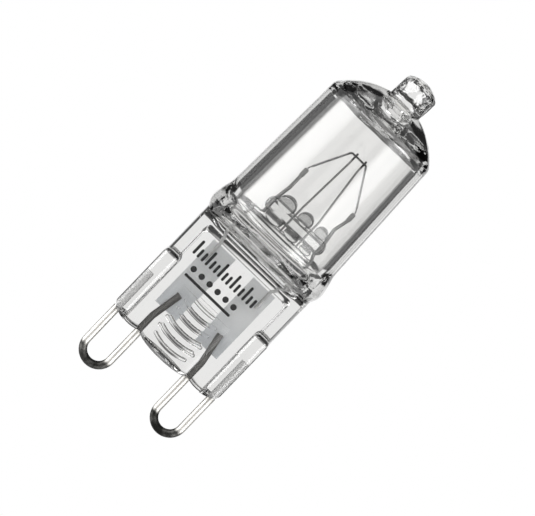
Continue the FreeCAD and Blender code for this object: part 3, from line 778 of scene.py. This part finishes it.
class BULB_OT_stage(bpy.types.Operator):
    """Sets up the floor, the lights, the surroundings and the camera"""

    bl_idname = "bulb.stage"
    bl_label = "Stage"

    def execute(self, context):
        studio = context.scene.bulb_studio
        context.scene.view_settings.view_transform = "Standard"
        make_floor(studio)
        make_lamps()
        make_surroundings(context.scene)
        make_camera(context.scene, studio)
        return {"FINISHED"}


def make_floor(studio):
    """A pale floor below the bulb, that takes its shadow and fades to white further out."""
    low = CAD_BOX[0].z - studio.floor_drop
    bm = bmesh.new()
    bmesh.ops.create_circle(bm, cap_ends=True, segments=96, radius=studio.floor_radius)
    bmesh.ops.translate(bm, vec=(0.0, 0.0, low), verts=bm.verts)
    mesh = bpy.data.meshes.new("floor")
    bm.to_mesh(mesh)
    bm.free()
    material, start = new_material("floor")
    place = start.node("ShaderNodeTexCoord", output="Object")
    reach = start.node("ShaderNodeVectorMath", {"operation": "LENGTH"}, {0: place}, "Value")
    matt = start.node("ShaderNodeBsdfDiffuse", None, {"Color": toned(studio.floor_colour)})
    white = start.node("ShaderNodeEmission", None, {"Color": WHITE, "Strength": 1.0})
    path = [start.node("ShaderNodeLightPath", output=name)
            for name in ("Is Camera Ray", "Is Glossy Ray", "Is Transmission Ray")]
    seen = path[0].math("MAXIMUM", path[0], path[1].math("MAXIMUM", path[1], path[2]))
    far = reach.smooth_step(*[studio.floor_radius * share for share in FLOOR_FADE])
    set_surface(start, start.node("ShaderNodeMixShader", None, {0: seen * far, 1: matt, 2: white}))
    mesh.materials.append(material)
    floor = bpy.data.objects.new("floor", mesh)
    bpy.context.scene.collection.objects.link(floor)


def make_lamps():
    """One large soft lamp from the upper left of the front, and a weaker one from the right."""
    for name, place, size, power in LAMPS:
        lamp = bpy.data.lights.new(name, "AREA")
        lamp.shape = "DISK"
        lamp.size = size
        lamp.energy = power
        holder = bpy.data.objects.new(name, lamp)
        holder.location = place
        holder.rotation_euler = (-Vector(place)).to_track_quat("-Z", "Y").to_euler()
        holder.visible_camera = False
        bpy.context.scene.collection.objects.link(holder)


def make_surroundings(scene):
    """A white studio with a dark surround, which the edges of the glass bend into view.

    Behind the bulb the surround leaves a bright window, and on the other sides it is a lattice of grey
    strips, seen only through the glass. Two softboxes show only as reflections.
    """
    world = bpy.data.worlds.new("studio")
    scene.world = world
    world.use_nodes = True
    world.node_tree.nodes.clear()
    start = Signal(world.node_tree)
    place = start.node("ShaderNodeTexCoord", output="Generated")
    x, y, z = [start.node("ShaderNodeSeparateXYZ", None, {0: place}, axis) for axis in "XYZ"]
    turn = x.math("ARCTAN2", x, y) * DEGREES
    rise = z.math("ARCSINE", z) * DEGREES
    aside = abs(turn)

    beside = rise.band(*WINDOW_RISE, RISE_SOFT)
    window = turn.band(*WINDOW_TURN, TURN_SOFT) * beside
    low_corner = aside.smooth_step(*LOW_CORNER_TURN) * rise.smooth_step(*LOW_CORNER_RISE)
    behind = turn.band(*DARK_TURN, TURN_SOFT) * rise.band(*DARK_RISE, RISE_SOFT)
    behind = behind * (1.0 - window) * (1.0 - low_corner)
    behind = behind * (beside * (BESIDE_WINDOW_DARK - OVER_WINDOW_DARK) + OVER_WINDOW_DARK)

    strips = sum(aside.band(*edges, STRIP_SOFT) for edges in STRIP_TURNS)
    strips = strips * rise.band(*STRIP_RISE, RISE_SOFT)
    crossbars = sum(rise.band(*edges, STRIP_SOFT) for edges in CROSSBAR_RISES)
    crossbars = crossbars * aside.smooth_step(*CROSSBAR_TURN)
    lattice = strips.math("MAXIMUM", strips, crossbars)
    softboxes = sum(turn.band(*edges, SOFTBOX_TURN_SOFT) for edges in SOFTBOX_TURNS)
    softboxes = softboxes * rise.band(*SOFTBOX_RISE, SOFTBOX_RISE_SOFT)

    seen, through, bounces = [
        start.node("ShaderNodeLightPath", output=name)
        for name in ("Is Camera Ray", "Is Transmission Ray", "Diffuse Depth")]
    level = (1.0 - behind - lattice * through * LATTICE_DARK) * STUDIO_LEVEL
    level = level + softboxes * (1.0 - through) * SOFTBOX_LEVEL
    scattered = bounces.math("MINIMUM", bounces, 1.0)
    level = level * (1.0 - scattered) + scattered * STUDIO_LEVEL
    light = start.node("ShaderNodeBackground", None, {
        "Color": WHITE, "Strength": seen + level * (1.0 - seen),
    })
    start.node("ShaderNodeOutputWorld", None, {"Surface": light})


def make_camera(scene, studio):
    """The camera looks along the thickness of the seal, from a little above, and is rolled."""
    camera = bpy.data.cameras.new("camera")
    camera.sensor_width = 36.0
    field = IMAGE_WIDTH / studio.scale * MM
    camera.lens = camera.sensor_width * studio.distance / field
    camera.clip_start = 0.01
    sight = Vector((0.0, math.cos(studio.elevation), -math.sin(studio.elevation)))
    level = Vector((1.0, 0.0, 0.0))
    upright = level.cross(sight)
    right = level * math.cos(studio.roll) + upright * math.sin(studio.roll)
    up = upright * math.cos(studio.roll) - level * math.sin(studio.roll)
    turn = Matrix((right, up, -sight)).transposed()
    holder = bpy.data.objects.new("camera", camera)
    place = Vector(studio.aim) - sight * studio.distance
    holder.matrix_world = Matrix.Translation(place) @ turn.to_4x4()
    scene.collection.objects.link(holder)
    scene.camera = holder


class BULB_PT_panel(bpy.types.Panel):
    """Lists the bulb's pieces and its stage"""

    bl_idname = "BULB_PT_panel"
    bl_label = "Halogen Capsule Bulb"
    bl_space_type = "VIEW_3D"
    bl_region_type = "UI"
    bl_category = "Bulb"

    def draw(self, context):
        for group, operators in (
            (context.scene.bulb_glass, ("bulb.glass",)),
            (context.scene.bulb_metal, ("bulb.metal", "bulb.filament")),
            (context.scene.bulb_print, ("bulb.print",)),
            (context.scene.bulb_studio, ("bulb.stage",)),
        ):
            box = self.layout.box()
            for name in group.__annotations__:
                box.prop(group, name)
            for operator in operators:
                box.operator(operator)


GROUPS = {
    "bulb_glass": BulbGlass,
    "bulb_metal": BulbMetal,
    "bulb_print": BulbPrint,
    "bulb_studio": BulbStudio,
}
CLASSES = (
    *GROUPS.values(), BULB_OT_glass, BULB_OT_metal, BULB_OT_filament, BULB_OT_print, BULB_OT_stage,
    BULB_PT_panel,
)


def register():
    for cls in CLASSES:
        bpy.utils.register_class(cls)
    for name, group in GROUPS.items():
        setattr(bpy.types.Scene, name, PointerProperty(type=group))


def unregister():
    for name in GROUPS:
        delattr(bpy.types.Scene, name)
    for cls in reversed(CLASSES):
        bpy.utils.unregister_class(cls)


def main():
    register()
    bpy.ops.bulb.glass()
    bpy.ops.bulb.metal()
    bpy.ops.bulb.filament()
    bpy.ops.bulb.print()
    bpy.ops.bulb.stage()


if __name__ == "__main__":
    main()
